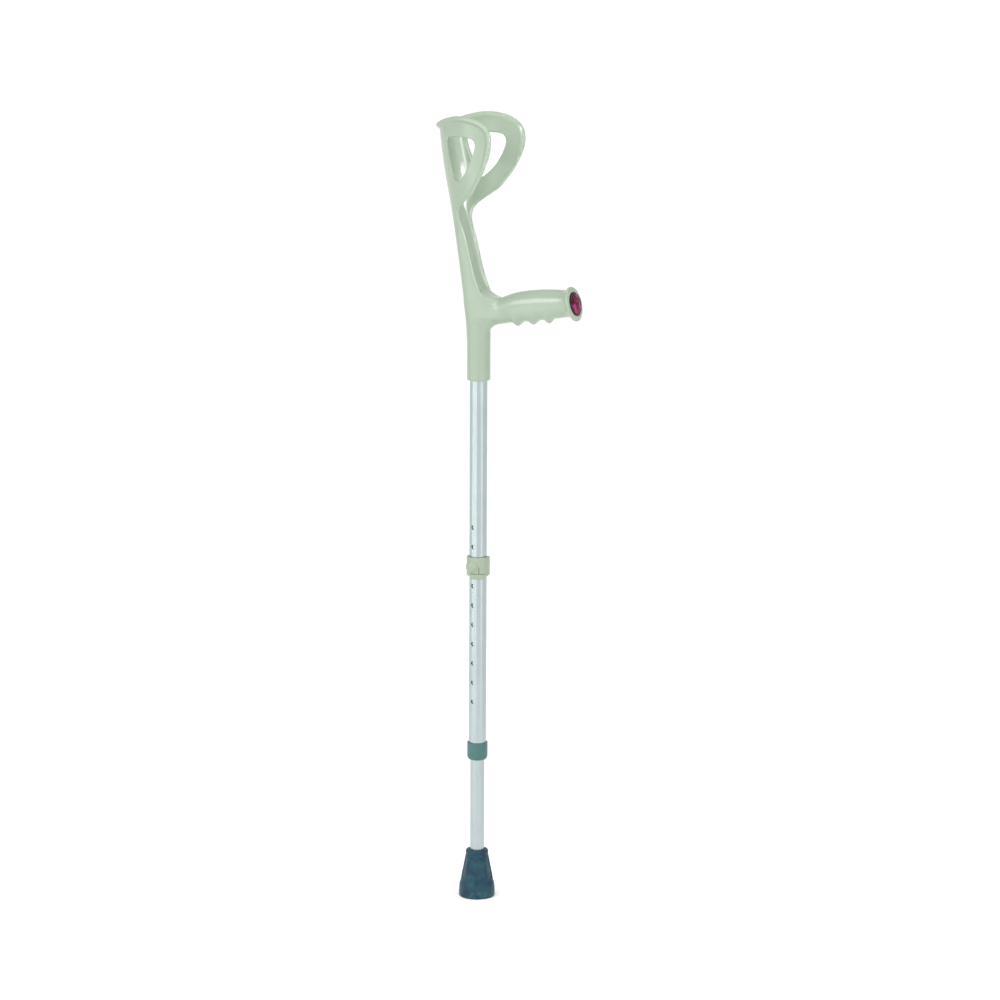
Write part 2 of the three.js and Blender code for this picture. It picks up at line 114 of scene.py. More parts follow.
# ------------------------------------------------------------------ curves
def spline(xs, ys, q):
    """Smooth monotone interpolation of ys over xs at q."""
    h = np.diff(xs)
    d = np.diff(ys) / h
    m = np.r_[d[0], (d[:-1] + d[1:]) / 2, d[-1]]
    m[1:-1][d[:-1] * d[1:] <= 0] = 0
    limit = 3 * np.minimum(np.abs(np.r_[d[0], d]), np.abs(np.r_[d, d[-1]]))
    m = np.clip(m, -limit, limit)
    i = np.clip(np.searchsorted(xs, q) - 1, 0, len(h) - 1)
    t = np.clip((q - xs[i]) / h[i], 0, 1)
    return (
        (1 + 2 * t) * (1 - t) ** 2 * ys[i] + t * (1 - t) ** 2 * h[i] * m[i]
        + t * t * (3 - 2 * t) * ys[i + 1] + t * t * (t - 1) * h[i] * m[i + 1]
    )


def through(points, count, closed=False):
    """Points evenly along a centripetal Catmull-Rom curve through the given ones."""
    p = np.asarray(points, float)
    p = np.vstack([p[-1], p, p[0], p[1]]) if closed else np.vstack([2 * p[0] - p[1], p, 2 * p[-1] - p[-2]])
    out = []
    for a, b, c, d in zip(p[:-3], p[1:-2], p[2:-1], p[3:]):
        t0, t1 = 0, max(np.linalg.norm(b - a), 1e-6) ** 0.5
        t2 = t1 + max(np.linalg.norm(c - b), 1e-6) ** 0.5
        t3 = t2 + max(np.linalg.norm(d - c), 1e-6) ** 0.5
        for t in np.linspace(t1, t2, 24, endpoint=False):
            u = (a * (t1 - t) + b * (t - t0)) / (t1 - t0)
            v = (b * (t2 - t) + c * (t - t1)) / (t2 - t1)
            w = (c * (t3 - t) + d * (t - t2)) / (t3 - t2)
            x = (u * (t2 - t) + v * (t - t0)) / (t2 - t0)
            y = (v * (t3 - t) + w * (t - t1)) / (t3 - t1)
            out.append((x * (t2 - t) + y * (t - t1)) / (t2 - t1))
    out.append(p[1] if closed else p[-2])
    out = np.array(out)
    s = np.r_[0, np.cumsum(np.linalg.norm(np.diff(out, axis=0), axis=1))]
    q = np.linspace(0, s[-1], count, endpoint=not closed)
    return np.stack([np.interp(q, s, out[:, k]) for k in range(out.shape[1])], 1)


def ramp(x, low, high):
    """A soft step from 0 at low to 1 at high."""
    t = np.clip((np.asarray(x, float) - low) / (high - low), 0, 1)
    return t * t * (3 - 2 * t)


# ------------------------------------------------------------------ mesh helpers
def obj_from(name, verts, faces, smooth=True):
    mesh = bpy.data.meshes.new(name)
    places = (np.asarray(verts, float) * MM).tolist()
    mesh.from_pydata(places, [], [tuple(int(i) for i in face) for face in faces])
    mesh.validate()
    mesh.update()
    if smooth:
        mesh.shade_smooth()
    obj = bpy.data.objects.new(name, mesh)
    SCENE.collection.objects.link(obj)
    return obj


def fix_normals(obj):
    """Joins doubled vertices and turns every face outwards."""
    bm = bmesh.new()
    bm.from_mesh(obj.data)
    bmesh.ops.remove_doubles(bm, verts=bm.verts, dist=1e-7)
    bmesh.ops.recalc_face_normals(bm, faces=bm.faces)
    bm.to_mesh(obj.data)
    bm.free()


def tube_grid(rings, closed_ends=True, loop=False):
    """Vertices and faces of rings of points joined in order, with fans over the two ends."""
    n, m = len(rings), len(rings[0])
    verts = [tuple(p) for ring in rings for p in ring]
    faces = []
    for i in range(n if loop else n - 1):
        for j in range(m):
            a, b = i * m + j, i * m + (j + 1) % m
            c, d = ((i + 1) % n) * m + (j + 1) % m, ((i + 1) % n) * m + j
            faces.append((a, b, c, d))
    if closed_ends and not loop:
        for base in (0, (n - 1) * m):
            middle = np.mean(verts[base:base + m], axis=0)
            verts.append(tuple(middle))
            faces += [(base + j, base + (j + 1) % m, len(verts) - 1) for j in range(m)]
    return verts, faces


def turns(facets):
    return np.arange(facets) * 2 * math.pi / facets


def level_ring(radius, z, facets):
    """A circle round Z; radius may also hold one value for each facet."""
    a = turns(facets)
    return np.stack([radius * np.cos(a), radius * np.sin(a), np.full(facets, z)], 1)


def side_ring(x, radius, facets):
    """A circle round X."""
    a = turns(facets)
    return np.stack([np.full(facets, x), radius * np.cos(a), radius * np.sin(a)], 1)


def solid(name, rings, closed_ends=True, loop=False):
    """The body that rings of points enclose."""
    obj = obj_from(name, *tube_grid(rings, closed_ends, loop))
    fix_normals(obj)
    return obj


def lathe(name, outline, facets=160, closed=True):
    """A body turned about Z from (radius, height) points; an open outline starts and ends on the axis."""
    return solid(name, [level_ring(r, z, facets) for r, z in outline], closed_ends=False, loop=closed)


def plug(name, radius, foot, head, facets):
    """An upright cylinder on the axis."""
    return lathe(name, [(0, foot), (radius, foot), (radius, head), (0, head)], facets, closed=False)


def rounded(points, radius, steps=5):
    """Rounds the corners of an open outline of 2D points; radius is one number or one per point."""
    p = np.asarray(points, float)
    radii = np.broadcast_to(radius, len(p))
    out = [p[0]]
    for a, b, c, r in zip(p[:-2], p[1:-1], p[2:], radii[1:-1]):
        u, v = a - b, c - b
        lu, lv = np.linalg.norm(u), np.linalg.norm(v)
        cut = min(r, lu * 0.48, lv * 0.48)
        if cut < 1e-3:
            out.append(b)
            continue
        s, e = b + u / lu * cut, b + v / lv * cut
        for t in np.linspace(0, 1, steps + 1):
            out.append((1 - t) ** 2 * s + 2 * t * (1 - t) * b + t * t * e)
    out.append(p[-1])
    return np.array(out)


def apply_all(obj):
    """Turns the object's modifiers into plain mesh."""
    dg = bpy.context.evaluated_depsgraph_get()
    mesh = bpy.data.meshes.new_from_object(obj.evaluated_get(dg), depsgraph=dg)
    obj.modifiers.clear()
    old, obj.data = obj.data, mesh
    bpy.data.meshes.remove(old)


def boolean(obj, tool, operation):
    """Cuts obj by the tool, joins the two or keeps what they share, and uses the tool up."""
    m = obj.modifiers.new("cut", "BOOLEAN")
    m.operation, m.object, m.solver = operation, tool, "EXACT"
    apply_all(obj)
    bpy.data.objects.remove(tool)
    return obj


def joined(name, objects):
    """One object from several, whose surfaces still pass through each other."""
    bm = bmesh.new()
    for o in objects:
        bm.from_mesh(o.data)
    mesh = bpy.data.meshes.new(name)
    bm.to_mesh(mesh)
    bm.free()
    for o in objects:
        bpy.data.objects.remove(o)
    made = bpy.data.objects.new(name, mesh)
    SCENE.collection.objects.link(made)
    return made


def remeshed(obj, size_mm):
    """Fuses what the object holds into one skin of small even faces."""
    m = obj.modifiers.new("remesh", "REMESH")
    m.mode, m.voxel_size, m.adaptivity = "VOXEL", size_mm * MM, 0
    apply_all(obj)
    obj.data.shade_smooth()


def everywhere(points):
    return np.ones(len(points))


def smoothed(obj, rounds, weight=everywhere):
    """Blends seams away where weight(points in mm) is not 0."""
    mesh = obj.data
    n = len(mesh.vertices)
    co = np.empty(n * 3)
    mesh.vertices.foreach_get("co", co)
    co = co.reshape(-1, 3)
    edges = np.empty(len(mesh.edges) * 2, np.int64)
    mesh.edges.foreach_get("vertices", edges)
    a, b = edges.reshape(-1, 2).T
    degree = np.bincount(a, minlength=n) + np.bincount(b, minlength=n)
    w = weight(co / MM)
    for _ in range(rounds):
        total = np.zeros((n, 3))
        for axis in range(3):
            total[:, axis] = np.bincount(a, co[b, axis], n) + np.bincount(b, co[a, axis], n)
        co = co + (total / degree[:, None] - co) * (0.6 * w)[:, None]
    mesh.vertices.foreach_set("co", co.ravel())
    mesh.update()


def smooth_by_angle(obj, degrees=32):
    """Smooth faces with edges sharper than the angle kept crisp."""
    bm = bmesh.new()
    bm.from_mesh(obj.data)
    for f in bm.faces:
        f.smooth = True
    limit = math.radians(degrees)
    for e in bm.edges:
        e.smooth = len(e.link_faces) == 2 and e.calc_face_angle(0) < limit
    bm.to_mesh(obj.data)
    bm.free()


# ------------------------------------------------------------------ handle
def back_at(z):
    """X of the back, depth and half width of the half-elliptical plan at a height."""
    z = np.asarray(z, float)
    return tuple(spline(BACK[:, 0], BACK[:, k], z) for k in (1, 2, 3))


def half_width(x, z):
    """Half the width of the outer surface at a point of the side view."""
    back, r, half = back_at(z)
    return half * np.sqrt(np.maximum(0, 1 - (np.maximum(0, back + r - x) / r) ** 2))


def sheet():
    """The bent wall of the spine and the cuff, larger than its outline."""
    rows, cols, foot, head, bend = 170, 150, 746, 1008, 0.72
    z = np.linspace(foot, head, rows)
    s = np.linspace(-1, 1, cols)
    back, r, half = (v[:, None] for v in back_at(z))
    share, side = np.abs(s)[None], np.sign(s)[None]
    angle = math.pi / 2 * np.minimum(share / bend, 1)
    run = 50 * np.maximum(0, (share - bend) / (1 - bend))
    nx, ny = -np.cos(angle) / r, np.sin(angle) / half
    length = np.hypot(nx, ny)
    layers = []
    for depth in (0, WALL):
        layers.append(np.stack([
            back + r - r * np.cos(angle) - depth * nx / length + run,
            side * (half * np.sin(angle) - depth * ny / length),
            np.broadcast_to(z[:, None], (rows, cols)),
        ], -1))
    rings = np.concatenate([layers[0], layers[1][:, ::-1]], 1)
    verts, faces = tube_grid(list(rings), closed_ends=False)
    for base in (0, (rows - 1) * 2 * cols):
        for j in range(cols - 1):
            faces.append((base + j, base + j + 1, base + 2 * cols - 2 - j, base + 2 * cols - 1 - j))
    obj = obj_from("sheet", verts, faces)
    fix_normals(obj)
    return obj


def web():
    """The body of the spine between its rims, from the back wall to the front face, which is a little
    hollow across."""
    rows, cols, buried, dip = 120, 41, 1, 0.7
    z = np.linspace(FRONT[0, 1], FRONT[-1, 1], rows)
    face = spline(FRONT[:, 1], FRONT[:, 0], z)
    rings = []
    for height, x in zip(z, face):
        back, r, half = (float(v) for v in back_at(height))
        reach = math.acos(min(1, max(0, (back + r - x + 0.5) / (r - buried))))
        a = np.linspace(-1, 1, cols) * reach
        y = (half - buried) * np.sin(a)
        rear = np.stack([back + r - (r - buried) * np.cos(a), y, np.full(cols, height)], 1)
        front = np.stack([x - dip * np.cos(a / reach * math.pi / 2), y, np.full(cols, height)], 1)
        rings.append(np.vstack([rear, front[::-1]]))
    return solid("web", rings)


def side_prism(outline, half):
    """A side-view outline of (X, Z) extruded across Y."""
    n = len(outline)
    verts = [(x, y, z) for y in (-half, half) for x, z in outline]
    faces = [(i, (i + 1) % n, n + (i + 1) % n, n + i) for i in range(n)]
    faces += [tuple(range(n)), tuple(range(2 * n - 1, n - 1, -1))]
    obj = obj_from("prism", verts, faces, smooth=False)
    fix_normals(obj)
    return obj


def rim_inset(z):
    """How far the middle of the bead lies inside the outer surface; at the cuff's top it lies outside."""
    low, top = 1.5, -1.2
    return low + (top - low) * ramp(z, 930, 970)


def bead():
    """The rolled bead along the free edge of the wall."""
    x, z = EDGE.T
    inset = rim_inset(z)
    y = np.maximum(0, half_width(x, z) - inset)
    half = np.stack([np.maximum(x, back_at(z)[0] + inset), -y, z], 1)
    crest = 981.5
    top = np.array([[back_at(crest)[0] + rim_inset(crest), 0, crest]])
    path = through(np.vstack([half, top, half[::-1] * (1, -1, 1)]), 900)
    ahead = np.gradient(path, axis=0)
    ahead /= np.linalg.norm(ahead, axis=1)[:, None]
    out = np.stack([path[:, 0] + 12, path[:, 1], np.zeros(len(path))], 1)
    out /= np.linalg.norm(out, axis=1)[:, None]
    out -= ahead * np.sum(out * ahead, axis=1)[:, None]
    out /= np.linalg.norm(out, axis=1)[:, None]
    up = np.cross(ahead, out)
    size = 2.15 + 1.15 * ramp(path[:, 2], 880, 970) + 0.5 * ramp(-path[:, 0], 42, 52)
    a = turns(20)
    return solid("bead", [
        p + s * (np.cos(a)[:, None] * o + np.sin(a)[:, None] * u)
        for p, o, u, s in zip(path, out, up, size)
    ])


def block(name, foot, head, half_wide, front_at):
    """An upright block with an elliptical plan, from the handle's back to front_at(z)."""
    rings, facets = [], 72
    a = turns(facets)
    y = half_wide * np.sin(a)
    for z in np.linspace(foot, head, 60):
        back, front = float(back_at(z)[0]) + 0.2, float(front_at(z))
        middle, reach = (front + back) / 2, front - back
        rings.append(np.stack([middle + np.cos(a) * reach / 2, y, np.full(facets, z)], 1))
    return solid(name, rings)


def root_block():
    """The solid block where sleeve, spine and grip meet."""
    return block("root", 702, 786, 14.3, lambda z: (
        14.2 - 1.0 * np.clip((z - 725) / 45, 0, 1) - 9 * ramp(z, 770, 786)
    ))


def saddle():
    """The slope that leads from the spine's front face out on the grip."""
    curve = through(SADDLE, 40)
    fill = side_prism(np.vstack([[(-30, 752), (-30, 814)], curve, [(34, 752)]]), 20)
    return boolean(fill, block("keep", 750, 816, 13, lambda z: 42), "INTERSECT")


def grip():
    """The hand grip, with a swell between each two fingers on its underside."""
    sections = through(GRIP, 260)
    a = turns(96)
    rings = []
    for cx, cz, up, down, half, lean in sections:
        tilt = math.radians(lean)
        v = np.cos(a) * np.where(np.cos(a) > 0, up, down)
        rings.append(np.stack([cx - v * math.sin(tilt), half * np.sin(a), cz + v * math.cos(tilt)], 1))
    return solid("grip", rings)


def flange():
    """The flange on the grip's end, with the seat of the reflector; its outer edge is a little oval."""
    r = FLANGE["r"]
    obj = lathe("flange", rounded([
        (0, -4), (r - 3, -4), (r - 0.4, -2.6), (r, -1.4), (r, -0.6), (r - 0.7, 0.3), (r - 2, 0.5),
        (LENS_R + 1.4, 1.6), (LENS_R + 0.3, 1.6), (LENS_R + 0.3, -0.9), (0, -0.9),
    ], 0.4), 160, closed=False)
    for v in obj.data.vertices:
        share = (math.hypot(v.co.x, v.co.y) / MM - (LENS_R + 1.4)) / 3
        v.co.y *= 1 - FLANGE["oval"] * min(1, max(0, share))
    obj.data.transform(GRIP_END)
    return obj


def cut_wall():
    """The bent wall trimmed to its side view, with the two windows."""
    wall = sheet()
    outline = through(EDGE, 400)
    side = np.vstack([[(-70, 740), (22, 740), (34, 750)], outline, [(-58, 980), (-72, 980)]])
    boolean(wall, side_prism(side, 65), "INTERSECT")
    return boolean(wall, side_prism(through(WINDOW, 180, closed=True), 70), "DIFFERENCE")


def sleeve():
    head = SLEEVE_HEAD + 20
    return lathe("sleeve", rounded([
        (0, SLEEVE_FOOT), (SLEEVE_R, SLEEVE_FOOT), (SLEEVE_R, SLEEVE_HEAD), (SLEEVE_R - 2, head), (0, head),
    ], 1.6), closed=False)


def between(values, start, full, fade, end):
    """Weight 1 from full to fade, with soft ends at start and end."""
    return ramp(values, start, full) * (1 - ramp(values, fade, end))


def sleeve_top(p):
    return between(p[:, 2], 722, 734, 750, 760) * (1 - ramp(p[:, 0], 34, 44))


def front_face(p):
    upright = between(p[:, 2], 764, 770, 896, 910)
    return upright * (1 - ramp(np.abs(p[:, 1]), 9, 10.8)) * (1 - ramp(p[:, 0], 30, 44))


def cuff_rim(p):
    return ramp(p[:, 2], 964, 972)


def grip_root(p):
    return between(p[:, 0], 14, 20, 40, 46)


def handle():
    """The one-piece handle: its bodies fused, their seams blended, then bored for the tube."""
    body = joined("handle", [cut_wall(), web(), bead(), root_block(), saddle(), grip(), flange(), sleeve()])
    remeshed(body, 0.75)
    smoothed(body, 4)
    for rounds, weight in ((60, sleeve_top), (50, front_face), (7, cuff_rim), (14, grip_root)):
        smoothed(body, rounds, weight)
    return boolean(body, plug("socket", SOCKET_R, SLEEVE_FOOT - 7, SOCKET_HEAD, 128), "DIFFERENCE")


# ------------------------------------------------------------------ leg
def turned_to_holes(obj, z=0):
    """Turns a body that points along X to the bearing of the holes, and lifts it to a height."""
    obj.data.transform(Matrix.Translation((0, 0, z * MM)) @ Matrix.Rotation(HOLE_AZIMUTH, 4, "Z"))
    return obj


def round_shading(obj):
    """Gives the tube's walls the normals of a true cylinder, so that the holes leave no dents in the
    reflections."""
    level = 0.93  # a face that looks more straight out or in than this belongs to a wall
    mesh = obj.data
    mesh.shade_smooth()
    normals = []
    for face in mesh.polygons:
        c, n = face.center, face.normal
        facing = n.dot(Vector((c.x, c.y, 0)).normalized())
        for k in face.loop_indices:
            v = mesh.vertices[mesh.loops[k].vertex_index].co
            radial = Vector((v.x, v.y, 0)).normalized()
            normals.append(n.copy() if abs(facing) <= level else radial if facing > 0 else -radial)
    mesh.normals_split_custom_set(normals)


def drill(outer_r, z):
    """A tool for one hole through one wall, with a small chamfer at the surface."""
    wide = HOLE_R + 0.5
    places = ((HOLE_R, 2), (HOLE_R, outer_r - 0.35), (wide, outer_r + 0.2), (wide, outer_r + 4))
    return turned_to_holes(solid("drill", [side_ring(x, r, 40) for r, x in places]), z)


def tube(bore, outer, foot, head, holes, rows):
    """A round tube with eased ends and a row of holes."""
    lip = 0.35
    z = np.linspace(foot + lip, head - lip, rows)
    outline = (
        [(bore + lip, foot), (outer - lip, foot)] + [(outer, v) for v in z]
        + [(outer - lip, head), (bore + lip, head)] + [(bore, v) for v in z[::-1]]
    )
    obj = lathe("tube", outline, 144)
    for z in holes:
        boolean(obj, drill(outer, z), "DIFFERENCE")
    round_shading(obj)
    return obj


def outer_tube():
    return tube(OUTER_BORE, OUTER_R, OUTER_FOOT, OUTER_HEAD, HOLES, 180)


def inner_tube():
    return tube(INNER_BORE, INNER_R, INNER_FOOT, INNER_HEAD, [CLIP_Z], 140)


def collar():
    """The collar pressed over the outer tube's foot, with a lip under it that guides the inner tube."""
    r, foot, head = COLLAR_R, COLLAR_FOOT, COLLAR_HEAD
    throat, bore, shelf = INNER_R + GAP, OUTER_R + GAP, OUTER_FOOT - GAP
    outline = np.vstack([
        rounded([
            (throat, foot + 3), (throat, foot), (r - 2.0, foot), (r - 0.2, foot + 2.6), (r, foot + 6),
            (r, head), (bore, head), (bore, head - 4),
        ], [0, 0.4, 1.0, 1.6, 1.6, 0.7, 0.3, 0], 6),
        [(bore, shelf), (throat, shelf)],
    ])
    obj = lathe("collar", outline, 144)
    smooth_by_angle(obj, 40)
    return obj


def sector(name, inner, outer, foot, head, middle, half, corner, steps):
    """A part of a ring between two azimuths, with rounded outer edges."""
    outline = rounded([
        (inner, (foot + head) / 2), (inner, foot), (outer, foot), (outer, head), (inner, head),
        (inner, (foot + head) / 2),
    ], [0, 0.2, corner, corner, 0.2, 0], 5)[:-1]
    rings = []
    for a in np.linspace(middle - half, middle + half, steps):
        rings.append(np.stack([outline[:, 0] * math.cos(a), outline[:, 0] * math.sin(a), outline[:, 1]], 1))
    return solid(name, rings)


def clip():
    """The spring clip: C-shaped band, finger tab, soft boss over the peg, and the moulded slits."""
    h, here = CLIP_HALF, HOLE_AZIMUTH
    half = math.pi - CLIP_MOUTH / 2
    front = here + math.radians(39)
    band = sector("band", CLIP_BORE, CLIP_R, -h, h, here, half, 1.1, 200)
    tab = sector("tab", CLIP_BORE, CLIP_R + 0.6, -15.6, -h + 3.4, front, math.radians(38), 2.6, 80)
    lip = 0.06
    beads = [
        sector("end", CLIP_BORE, CLIP_R + 0.5, -h + 0.6, h - 0.6, here + side * (half - lip), lip, 0.9, 12)
        for side in (-1, 1)
    ]
    dome = ((9.5, 8.6), (13.0, 8.4), (14.6, 7.7), (16, 6.7), (17.1, 5.4), (17.8, 3.9), (18.1, 2.2))
    boss = turned_to_holes(solid("boss", [side_ring(reach, radius, 48) for reach, radius in dome]))
    body = joined("clip", [band, tab, boss] + beads)
    remeshed(body, 0.35)
    smoothed(body, 4)
    past = CLIP_R + 3
    cuts = [
        sector("slit", CLIP_R - 1.1, past, -h + 3.0, -h + 4.2, front - 0.06, math.radians(33), 0.1, 60),
        sector("slot", CLIP_R - 1.3, past, -h + 3.2, -h + 12.4, front + 0.08, 0.038, 0.1, 8),
    ]
    for tool in cuts + [plug("core", CLIP_BORE, -30, 30, 144)]:
        boolean(body, tool, "DIFFERENCE")
    peg = ((6.2, PEG_R - 0.5), (6.7, PEG_R), (12.5, PEG_R))
    boolean(body, turned_to_holes(solid("peg", [side_ring(x, r, 32) for x, r in peg])), "UNION")
    body.data.transform(Matrix.Translation((0, 0, CLIP_Z * MM)))
    smooth_by_angle(body, 38)
    return body


def ferrule():
    """The flared rubber foot, with eight flutes round the cone and tread rings under it."""
    r, socket, facets = FERRULE_R, INNER_R + GAP, 320
    side = rounded([
        (r - 2.4, 0), (r - 0.2, 0.4), (r, 5), (r - 0.35, 12), (r - 0.9, 17.2), (r - 2.2, 20.5), (19.3, 29),
        (17.5, 38), (15.6, 48), (14.4, 54.4), (13.9, 55.8), (14.5, 57.4), (14.3, 59.8), (12.6, FERRULE_H),
        (socket + 0.4, FERRULE_H),
    ], [0, 1.8, 1, 1, 1.6, 2, 2, 2, 2, 1, 0.9, 0.8, 1.2, 0.8, 0], 5)
    s = np.r_[0, np.cumsum(np.hypot(*np.diff(side, axis=0).T))]
    q = np.linspace(0, s[-1], 210)
    side = np.stack([np.interp(q, s, side[:, 0]), np.interp(q, s, side[:, 1])], 1)
    tread = [(0, 1.0), (3, 1.0), (3.4, 0.0), (6.4, 0.0), (6.8, 1.0), (9, 1.0), (9.4, 0.0), (12.4, 0.0),
             (12.8, 1.0), (15, 1.0), (15.4, 0.0), (18.4, 0.0), (18.8, 0.6), (19.4, 0.6), (19.8, 0.0)]
    rings = [level_ring(radius, z, facets) for radius, z in tread]
    first_rib, flute_depth, arch_height = math.radians(-64), 1.5, 2.6
    across = (turns(facets) - first_rib) * FLUTES / (2 * math.pi)
    off = np.abs((across + 0.5) % 1 - 0.5) * 2  # 0 on a rib, 1 in the middle of a flute
    arch = arch_height * (1 - off) ** 1.5
    for radius, z in side:
        low, high = ramp(z, 23.2 + arch, 24.4 + arch), ramp(z, 51.2 - arch, 52.4 - arch)
        depth = ramp(off, 0.14, 0.34) * low * (1 - high)
        rings.append(level_ring(
            radius - flute_depth * depth * (0.8 + 0.2 * np.cos((1 - off) * math.pi)), z, facets
        ))
    seat = 9.4
    for radius, z in ((socket, FERRULE_H - 0.5), (socket, 30), (socket, seat), (4, seat), (0, seat)):
        rings.append(level_ring(radius, z, facets))
    obj = solid("ferrule", rings, closed_ends=False)
    smooth_by_angle(obj, 50)
    return obj


def lens():
    """The round reflector, turned about its own Z: a plain rim, a groove and a low dome."""
    profile = rounded([
        (0.01, -0.6), (LENS_R - 0.3, -0.6), (LENS_R - 0.3, 1.2), (LENS_R - 1.2, 2.0), (LENS_R - 2.3, 1.7),
        (LENS_R - 3, 2.05), (LENS_R * 0.45, 2.75), (0.01, 3.0),
    ], [0, 0.3, 0.5, 0.5, 0.5, 0.6, 2, 0], 5)
    obj = solid("lens", [level_ring(radius, z, 180) for radius, z in profile])
    smooth_by_angle(obj, 35)
    return obj


# ------------------------------------------------------------------ materials
def material(name):
    """A new material with its node tree and its one shader."""
    mat = bpy.data.materials.new(name)
    mat.use_nodes = True
    tree = mat.node_tree
    tree.nodes.clear()
    out = tree.nodes.new("ShaderNodeOutputMaterial")
    bsdf = tree.nodes.new("ShaderNodeBsdfPrincipled")
    tree.links.new(bsdf.outputs[0], out.inputs[0])
    return mat, tree, bsdf


def node(tree, kind, **values):
    """A node with its sockets, or else its settings, set by name."""
    n = tree.nodes.new(kind)
    for key, value in values.items():
        if key in n.inputs:
            n.inputs[key].default_value = value
        else:
            setattr(n, key, value)
    return n


def coords(tree, scale=(1, 1, 1)):
    """The piece's own coordinates in metres, stretched."""
    c = tree.nodes.new("ShaderNodeTexCoord")
    m = tree.nodes.new("ShaderNodeMapping")
    m.inputs["Scale"].default_value = scale
    tree.links.new(c.outputs["Object"], m.inputs["Vector"])
    return m.outputs[0]


def noise(tree, vector, scale, detail=4, rough=0.5):
    n = node(tree, "ShaderNodeTexNoise", Scale=scale, Detail=detail, Roughness=rough)
    tree.links.new(vector, n.inputs["Vector"])
    return n.outputs["Fac"]


def scaled(tree, fac, low, high, from_low=0.3, from_high=0.7):
    """Maps a value to low..high; a noise stays mostly between 0.3 and 0.7."""
    n = node(tree, "ShaderNodeMapRange")
    n.inputs["From Min"].default_value = from_low
    n.inputs["From Max"].default_value = from_high
    n.inputs["To Min"].default_value = low
    n.inputs["To Max"].default_value = high
    tree.links.new(fac, n.inputs["Value"])
    return n.outputs[0]


def tinted(tree, fac, dark, light):
    n = node(tree, "ShaderNodeMix", data_type="RGBA")
    n.inputs[6].default_value = (*dark, 1)
    n.inputs[7].default_value = (*light, 1)
    tree.links.new(fac, n.inputs[0])
    return n.outputs[2]


def bumped(tree, bsdf, height, strength, distance_mm):
    n = node(tree, "ShaderNodeBump", Strength=strength, Distance=distance_mm * MM)
    tree.links.new(height, n.inputs["Height"])
    tree.links.new(n.outputs[0], bsdf.inputs["Normal"])


def plastic(name, dark, light, rough, grain_mm, grain, coat):
    """Moulded plastic: slow drifts of shade, a fine mould grain and a slightly uneven gloss."""
    mat, tree, bsdf = material(name)
    v = coords(tree)
    slow = noise(tree, v, 28, 3)
    tree.links.new(tinted(tree, scaled(tree, slow, 0, 1), dark, light), bsdf.inputs["Base Color"])
    fine = noise(tree, v, 1000 / grain_mm / 2, 3, 0.6)
    gloss = scaled(tree, noise(tree, v, 160, 5), rough - 0.05, rough + 0.06)
    tree.links.new(gloss, bsdf.inputs["Roughness"])
    bumped(tree, bsdf, fine, grain, 0.03)
    bsdf.inputs["IOR"].default_value = 1.49
    bsdf.inputs["Coat Weight"].default_value = coat
    bsdf.inputs["Coat Roughness"].default_value = 0.1
    return mat


def aluminium(name, dark, light, rough):
    """Drawn and satin anodised tube: fine lines along the tube and faint handling marks."""
    mat, tree, bsdf = material(name)
    lines = noise(tree, coords(tree, (1, 1, 0.006)), 1500, 3, 0.65)
    cloud = noise(tree, coords(tree), 45, 4)
    tree.links.new(tinted(tree, scaled(tree, cloud, 0, 1), dark, light), bsdf.inputs["Base Color"])
    bsdf.inputs["Metallic"].default_value = 1
    tree.links.new(scaled(tree, lines, rough - 0.07, rough + 0.09), bsdf.inputs["Roughness"])
    bumped(tree, bsdf, lines, 0.12, 0.02)
    return mat


def reflector_material():
    """Red moulded reflector: a dark rim, and inside it small prism cells of uneven depth of red, with
    painted highlights: brighter patches of colour that stand in for the light the cells throw back."""
    mat, tree, bsdf = material("reflector")
    c = tree.nodes.new("ShaderNodeTexCoord")
    cells = node(tree, "ShaderNodeTexVoronoi", Scale=330, Randomness=0.12)
    tree.links.new(c.outputs["Object"], cells.inputs["Vector"])
    tone = tree.nodes.new("ShaderNodeValToRGB")
    tree.links.new(cells.outputs["Color"], tone.inputs["Fac"])
    stops = tone.color_ramp.elements
    stops[0].position, stops[0].color = 0.25, (0.024, 0.001, 0.005, 1)
    stops[1].position, stops[1].color = 0.85, (0.15, 0.011, 0.055, 1)
    mid = stops.new(0.5)
    mid.color = (0.085, 0.003, 0.018, 1)
    # Painted highlight: noise patches of brighter pinkish red screened over the cells, standing in for
    # light thrown back.
    glint_noise = noise(tree, c.outputs["Object"], 95, 2, 0.5)
    painted_glint = tinted(tree, scaled(tree, glint_noise, 0, 1, 0.52, 0.64), (0, 0, 0), (0.2, 0.024, 0.1))
    mixed = node(tree, "ShaderNodeMix", data_type="RGBA", blend_type="SCREEN")
    mixed.inputs[0].default_value = 1
    tree.links.new(tone.outputs[0], mixed.inputs[6])
    tree.links.new(painted_glint, mixed.inputs[7])
    flat = node(tree, "ShaderNodeVectorMath", operation="MULTIPLY")
    flat.inputs[1].default_value = (1, 1, 0)
    tree.links.new(c.outputs["Object"], flat.inputs[0])
    far = node(tree, "ShaderNodeVectorMath", operation="LENGTH")
    tree.links.new(flat.outputs[0], far.inputs[0])
    rim = scaled(tree, far.outputs["Value"], 0, 1, (LENS_R - 2.6) * MM, (LENS_R - 1.5) * MM)
    final = node(tree, "ShaderNodeMix", data_type="RGBA")
    tree.links.new(rim, final.inputs[0])
    tree.links.new(mixed.outputs[2], final.inputs[6])
    final.inputs[7].default_value = (0.012, 0.002, 0.004, 1)
    tree.links.new(final.outputs[2], bsdf.inputs["Base Color"])
    tree.links.new(scaled(tree, noise(tree, c.outputs["Object"], 400), 0.12, 0.2), bsdf.inputs["Roughness"])
    bumped(tree, bsdf, cells.outputs["Distance"], 0.5, 0.4)
    bsdf.inputs["Specular IOR Level"].default_value = 0.2
    return mat


